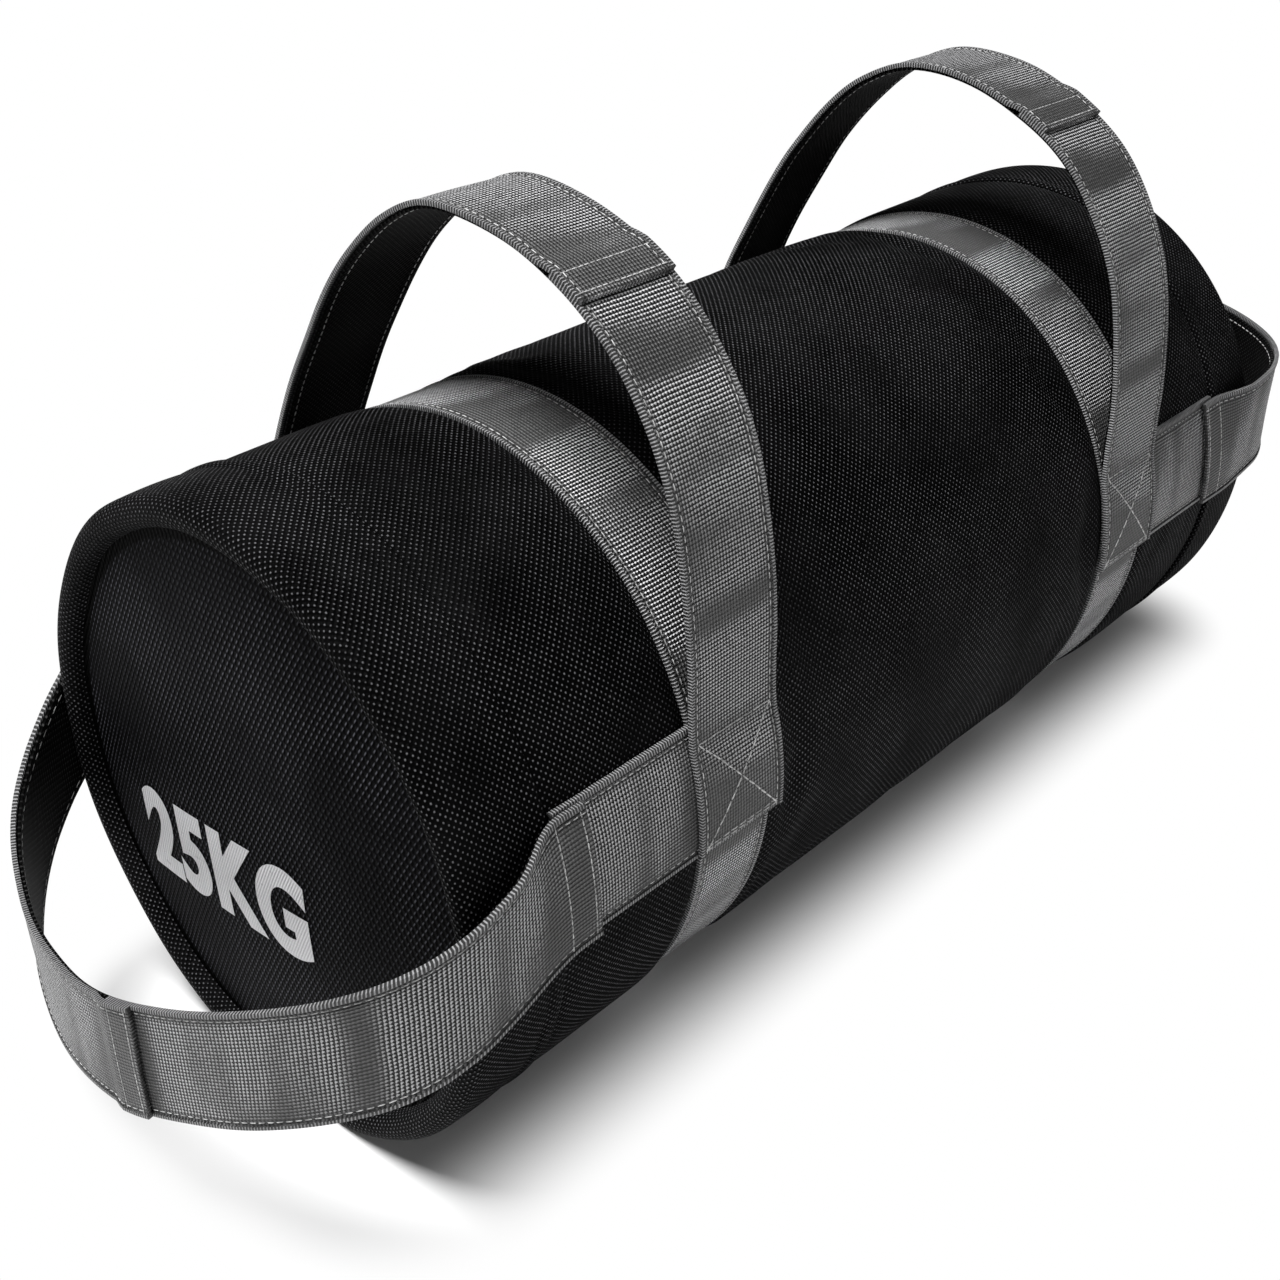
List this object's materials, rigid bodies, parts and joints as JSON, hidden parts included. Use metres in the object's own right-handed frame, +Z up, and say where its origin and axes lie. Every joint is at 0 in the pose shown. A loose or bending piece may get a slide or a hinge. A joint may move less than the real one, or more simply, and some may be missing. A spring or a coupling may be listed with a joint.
{
  "type": "training sandbag",
  "caption": "Filled fabric cylinder with webbing bands, upright carry handles along the top and a webbing loop past each end.",
  "frame": {"origin": "on the floor, under the middle of the bag", "axes": "+X along the bag towards its far end, +Z up, and the side whose handle ends face the viewer towards -Y"},
  "size_m": [0.665, 0.2456, 0.3188],
  "materials": {
    "shell_nylon": "coarse plain-woven black nylon, matte with a faint sheen",
    "end_panel_nylon": "black nylon with a fine diagonal rib, matte",
    "grey_webbing": "mid grey woven webbing with stitched edges",
    "black_lining": "black woven lining",
    "liner_fabric": "pale woven polypropylene",
    "tie_nylon": "nylon cable tie",
    "sand": "sand and textile mix"
  },
  "bodies": {
    "bag": {"main_shell": "shell_nylon", "near_end_sleeve": "shell_nylon", "far_end_sleeve": "shell_nylon", "near_end_panel": "end_panel_nylon", "far_end_panel": "end_panel_nylon", "near_band": "grey_webbing", "far_band": "grey_webbing", "near_front_anchor": "grey_webbing", "near_rear_anchor": "grey_webbing", "far_front_anchor": "grey_webbing", "far_rear_anchor": "grey_webbing", "near_front_stub": "grey_webbing", "near_rear_stub": "grey_webbing", "far_front_stub": "grey_webbing", "far_rear_stub": "grey_webbing", "inner_liner": "liner_fabric", "liner_tie": "tie_nylon", "sand_filling": "sand"},
    "near_top_handle": {"near_top_strap_front": "grey_webbing", "near_top_strap_rear": "grey_webbing", "near_top_lining": "black_lining"},
    "far_top_handle": {"far_top_strap_front": "grey_webbing", "far_top_strap_rear": "grey_webbing", "far_top_lining": "black_lining"},
    "near_end_loop": {"near_loop_strap_front": "grey_webbing", "near_loop_strap_rear": "grey_webbing", "near_loop_lining": "black_lining"},
    "far_end_loop": {"far_loop_strap_front": "grey_webbing", "far_loop_strap_rear": "grey_webbing", "far_loop_lining": "black_lining"}
  },
  "joints": [
    {"name": "near_top_lean", "type": "hinge", "parent": "bag", "child": "near_top_handle", "pos_m": [-0.139, 0, 0.15831], "axis": [0, 1, 0], "range_deg": [-35, 35]},
    {"name": "far_top_lean", "type": "hinge", "parent": "bag", "child": "far_top_handle", "pos_m": [0.139, 0, 0.15831], "axis": [0, 1, 0], "range_deg": [-35, 35]},
    {"name": "near_loop_swing", "type": "hinge", "parent": "bag", "child": "near_end_loop", "pos_m": [-0.2215, 0, 0.13711], "axis": [0, 1, 0], "range_deg": [-15, 70]},
    {"name": "far_loop_swing", "type": "hinge", "parent": "bag", "child": "far_end_loop", "pos_m": [0.2215, 0, 0.13711], "axis": [0, 1, 0], "range_deg": [-40, 20]}
  ]
}
